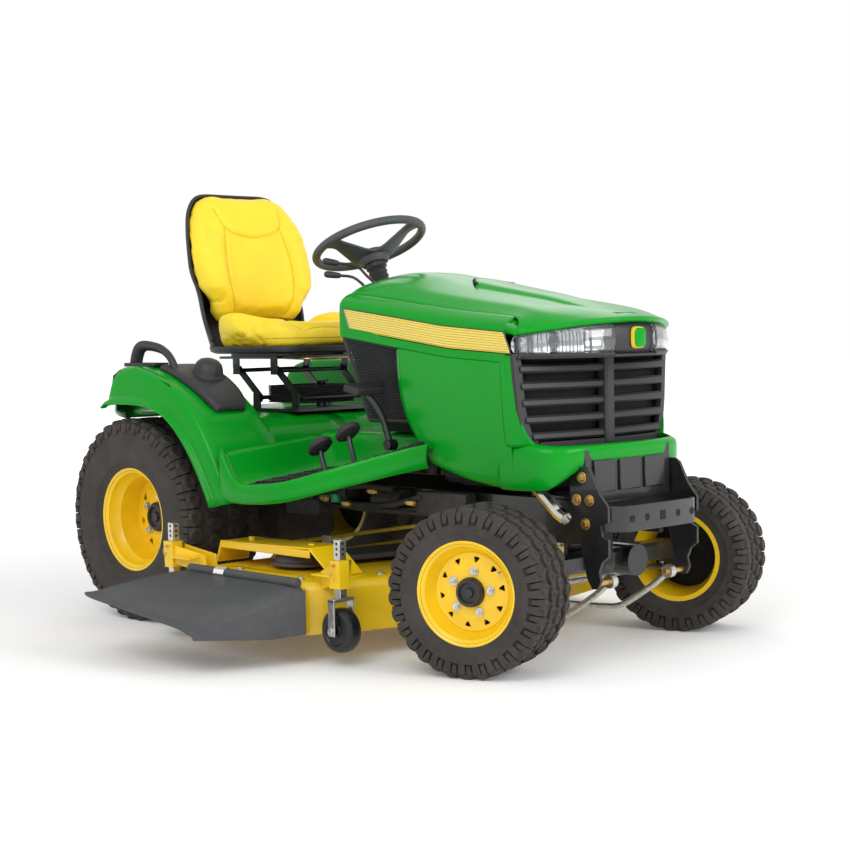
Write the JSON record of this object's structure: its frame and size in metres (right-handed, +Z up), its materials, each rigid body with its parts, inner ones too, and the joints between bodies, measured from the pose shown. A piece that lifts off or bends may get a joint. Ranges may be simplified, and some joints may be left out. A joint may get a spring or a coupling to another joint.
{
  "type": "riding lawn mower",
  "caption": "Garden tractor with a hinged hood, sprung driver's seat, steered front axle and a belly-mounted side-discharge mower deck with a folding chute.",
  "frame": {"origin": "middle of the bounding box in plan, on the ground under the tyres", "axes": "+Z up, the tractor drives towards -Y, and its left side is +X"},
  "size_m": [1.729, 2.065, 1.4195],
  "materials": {
    "green_paint": "gloss",
    "yellow_paint": "gloss",
    "yellow_vinyl": "soft vinyl",
    "black_paint": "gloss",
    "black_plastic": "textured",
    "grey_plastic": "fine texture",
    "tyre_rubber": "matt",
    "wheel_rubber": "satin",
    "zinc": "zinc plated",
    "polished_steel": "polished",
    "cast_metal": "as cast",
    "clear_lens": "clear"
  },
  "bodies": {
    "tractor": {"main_frame": "black_paint", "front_bracket_left": "black_paint", "front_bracket_right": "black_paint", "front_crossbar": "black_paint", "transaxle": "cast_metal", "engine": "cast_metal", "radiator": "black_plastic", "exhaust_pipe": "polished_steel", "fender_deck": "green_paint", "footboard": "green_paint", "console_left": "grey_plastic", "console_right": "grey_plastic", "dash_tower": "black_plastic", "seat_base": "black_paint"},
    "hood": {"hood_shell": "green_paint", "grille": "black_plastic", "headlight_left": "clear_lens", "headlight_right": "clear_lens"},
    "column": {"steering_column": "black_plastic"},
    "steering": {"steering_wheel": "grey_plastic"},
    "axle": {"front_axle": "black_paint"},
    "knuckle_r": {"knuckle_right": "cast_metal"},
    "knuckle_l": {"knuckle_left": "cast_metal"},
    "tie": {"tie_rod": "zinc"},
    "front_wheel_r": {"front_rim_right": "yellow_paint", "front_tyre_right": "tyre_rubber"},
    "front_wheel_l": {"front_rim_left": "yellow_paint", "front_tyre_left": "tyre_rubber"},
    "rear_wheel_r": {"rear_rim_right": "yellow_paint", "rear_tyre_right": "tyre_rubber"},
    "rear_wheel_l": {"rear_rim_left": "yellow_paint", "rear_tyre_left": "tyre_rubber"},
    "arms_front": {"suspension_arms_front": "black_paint"},
    "arms_rear": {"suspension_arms_rear": "black_paint"},
    "seat_carrier": {"seat_frame": "black_paint"},
    "seat": {"seat_shell": "black_plastic", "seat_cushion": "yellow_vinyl", "backrest_cushion": "yellow_vinyl"},
    "pedal_forward": {"forward_pedal": "black_plastic"},
    "pedal_reverse": {"reverse_pedal": "black_plastic"},
    "pedal_brake": {"brake_pedal": "black_plastic"},
    "lever_lift": {"lift_lever": "black_plastic"},
    "lever_auxiliary": {"auxiliary_lever": "black_plastic"},
    "knob": {"pto_knob": "yellow_paint"},
    "deck": {"deck_shell": "yellow_paint", "deck_bridge": "yellow_paint", "belt_cover": "grey_plastic"},
    "blade_c": {"blade_centre": "cast_metal"},
    "blade_l": {"blade_left": "cast_metal"},
    "blade_r": {"blade_right": "cast_metal"},
    "discharge": {"chute": "grey_plastic"},
    "draft": {"draft_rod": "zinc"},
    "fork_front_right": {"gauge_fork_front_right": "zinc"},
    "caster_front_right": {"gauge_wheel_front_right": "wheel_rubber"},
    "fork_front_left": {"gauge_fork_front_left": "zinc"},
    "caster_front_left": {"gauge_wheel_front_left": "wheel_rubber"},
    "fork_rear_right": {"gauge_fork_rear_right": "zinc"},
    "caster_rear_right": {"gauge_wheel_rear_right": "wheel_rubber"},
    "fork_rear_left": {"gauge_fork_rear_left": "zinc"},
    "caster_rear_left": {"gauge_wheel_rear_left": "wheel_rubber"}
  },
  "joints": [
    {"name": "hood_open", "type": "hinge", "parent": "tractor", "child": "hood", "pos_m": [0.1655, -0.9145, 0.64], "axis": [1, 0, 0], "range_deg": [0, 60]},
    {"name": "column_tilt", "type": "hinge", "parent": "tractor", "child": "column", "pos_m": [0.1655, 0.0624, 1.0143], "axis": [1, 0, 0], "range_deg": [-10, 10]},
    {"name": "steering_wheel_turn", "type": "hinge", "parent": "column", "child": "steering", "pos_m": [0.1655, 0.1425, 1.203], "axis": [0, 0.3907, 0.9205], "range_deg": [-550, 150]},
    {"name": "axle_rock", "type": "hinge", "parent": "tractor", "child": "axle", "pos_m": [0.1655, -0.7625, 0.255], "axis": [0, 1, 0], "range_deg": [-8, 8]},
    {"name": "steer", "type": "hinge", "parent": "axle", "child": "knuckle_r", "pos_m": [-0.2695, -0.7625, 0.228], "axis": [0, 0, 1], "range_deg": [-55, 15]},
    {"name": "steer_left", "type": "hinge", "parent": "axle", "child": "knuckle_l", "pos_m": [0.6005, -0.7625, 0.228], "axis": [0, 0, 1], "range_deg": [-55, 15]},
    {"name": "tie_rod_turn", "type": "hinge", "parent": "knuckle_r", "child": "tie", "pos_m": [-0.28915, -0.70793, 0.192], "axis": [0, 0, 1], "range_deg": [-15, 55]},
    {"name": "front_wheel_right_spin", "type": "hinge", "parent": "knuckle_r", "child": "front_wheel_r", "pos_m": [-0.29867, -0.773, 0.228], "axis": [-0.9409, -0.3387, 0], "continuous": true},
    {"name": "front_wheel_left_spin", "type": "hinge", "parent": "knuckle_l", "child": "front_wheel_l", "pos_m": [0.62967, -0.752, 0.228], "axis": [0.9409, 0.3387, 0], "continuous": true},
    {"name": "rear_wheel_right_spin", "type": "hinge", "parent": "tractor", "child": "rear_wheel_r", "pos_m": [-0.2735, 0.6855, 0.328], "axis": [1, 0, 0], "continuous": true},
    {"name": "rear_wheel_left_spin", "type": "hinge", "parent": "tractor", "child": "rear_wheel_l", "pos_m": [0.6045, 0.6855, 0.328], "axis": [1, 0, 0], "continuous": true},
    {"name": "suspension_travel", "type": "hinge", "parent": "tractor", "child": "arms_front", "pos_m": [0.1655, 0.3405, 0.708], "axis": [1, 0, 0], "range_deg": [-20, 8]},
    {"name": "suspension_rear", "type": "hinge", "parent": "tractor", "child": "arms_rear", "pos_m": [0.1655, 0.5405, 0.708], "axis": [1, 0, 0], "range_deg": [-20, 8]},
    {"name": "seat_level", "type": "hinge", "parent": "arms_front", "child": "seat_carrier", "pos_m": [0.1655, 0.44775, 0.79799], "axis": [1, 0, 0], "range_deg": [-8, 20]},
    {"name": "seat_slide", "type": "slide", "parent": "seat_carrier", "child": "seat", "axis": [0, 1, 0], "range_m": [-0.06, 0.07]},
    {"name": "forward_pedal_press", "type": "hinge", "parent": "tractor", "child": "pedal_forward", "pos_m": [-0.2395, -0.2195, 0.532], "axis": [1, 0, 0], "range_deg": [0, 14], "stiffness_Nm_per_rad": 6},
    {"name": "reverse_pedal_press", "type": "hinge", "parent": "tractor", "child": "pedal_reverse", "pos_m": [-0.2595, -0.1145, 0.5], "axis": [1, 0, 0], "range_deg": [0, 14], "stiffness_Nm_per_rad": 6},
    {"name": "brake_pedal_press", "type": "hinge", "parent": "tractor", "child": "pedal_brake", "pos_m": [-0.1525, -0.2795, 0.59], "axis": [1, 0, 0], "range_deg": [0, 14], "stiffness_Nm_per_rad": 12},
    {"name": "lift_lever_swing", "type": "hinge", "parent": "tractor", "child": "lever_lift", "pos_m": [0.1155, 0.0455, 1.062], "axis": [-0.57, -0.8217, 0], "range_deg": [0, 6]},
    {"name": "auxiliary_lever_swing", "type": "hinge", "parent": "tractor", "child": "lever_auxiliary", "pos_m": [0.0705, 0.0455, 1.05], "axis": [-0.645, -0.7642, 0], "range_deg": [0, 12]},
    {"name": "blade_switch_pull", "type": "slide", "parent": "tractor", "child": "knob", "axis": [0, 0.96, 0.28], "range_m": [0, 0.02]},
    {"name": "deck_lift", "type": "slide", "parent": "tractor", "child": "deck", "axis": [0, 0, 1], "range_m": [-0.03, 0.08]},
    {"name": "blade_centre_spin", "type": "hinge", "parent": "deck", "child": "blade_c", "pos_m": [0.1655, -0.2395, 0.105], "axis": [0, 0, 1], "continuous": true},
    {"name": "blade_left_spin", "type": "hinge", "parent": "deck", "child": "blade_l", "pos_m": [0.6055, -0.0295, 0.105], "axis": [0, 0, 1], "continuous": true},
    {"name": "blade_right_spin", "type": "hinge", "parent": "deck", "child": "blade_r", "pos_m": [-0.2745, -0.0295, 0.105], "axis": [0, 0, 1], "continuous": true},
    {"name": "chute_fold", "type": "hinge", "parent": "deck", "child": "discharge", "pos_m": [-0.5345, -0.0745, 0.226], "axis": [0, 1, 0], "range_deg": [0, 75]},
    {"name": "draft_rod_swing", "type": "hinge", "parent": "tractor", "child": "draft", "pos_m": [0.1655, -0.9515, 0.227], "axis": [1, 0, 0], "range_deg": [-2.6, 6.9]},
    {"name": "front_right_height", "type": "slide", "parent": "deck", "child": "fork_front_right", "axis": [0, 0, 1], "range_m": [0, 0.022]},
    {"name": "front_right_gauge_spin", "type": "hinge", "parent": "fork_front_right", "child": "caster_front_right", "pos_m": [-0.4645, -0.3995, 0.098], "axis": [1, 0, 0], "continuous": true},
    {"name": "front_left_height", "type": "slide", "parent": "deck", "child": "fork_front_left", "axis": [0, 0, 1], "range_m": [0, 0.022]},
    {"name": "front_left_gauge_spin", "type": "hinge", "parent": "fork_front_left", "child": "caster_front_left", "pos_m": [0.7955, -0.3995, 0.098], "axis": [1, 0, 0], "continuous": true},
    {"name": "rear_right_height", "type": "slide", "parent": "deck", "child": "fork_rear_right", "axis": [0, 0, 1], "range_m": [0, 0.022]},
    {"name": "rear_right_gauge_spin", "type": "hinge", "parent": "fork_rear_right", "child": "caster_rear_right", "pos_m": [-0.4895, 0.3405, 0.098], "axis": [1, 0, 0], "continuous": true},
    {"name": "rear_left_height", "type": "slide", "parent": "deck", "child": "fork_rear_left", "axis": [0, 0, 1], "range_m": [0, 0.022]},
    {"name": "rear_left_gauge_spin", "type": "hinge", "parent": "fork_rear_left", "child": "caster_rear_left", "pos_m": [0.8205, 0.3405, 0.098], "axis": [1, 0, 0], "continuous": true}
  ],
  "couplings": [
    {"joint": "steer_left", "follows": "steer", "ratio": 1},
    {"joint": "steering_wheel_turn", "follows": "steer", "ratio": 10},
    {"joint": "tie_rod_turn", "follows": "steer", "ratio": -1},
    {"joint": "suspension_rear", "follows": "suspension_travel", "ratio": 1},
    {"joint": "seat_level", "follows": "suspension_travel", "ratio": -1},
    {"joint": "blade_left_spin", "follows": "blade_centre_spin", "ratio": 1},
    {"joint": "blade_right_spin", "follows": "blade_centre_spin", "ratio": 1},
    {"joint": "draft_rod_swing", "follows": "deck_lift", "rad_per_m": 1.5}
  ]
}
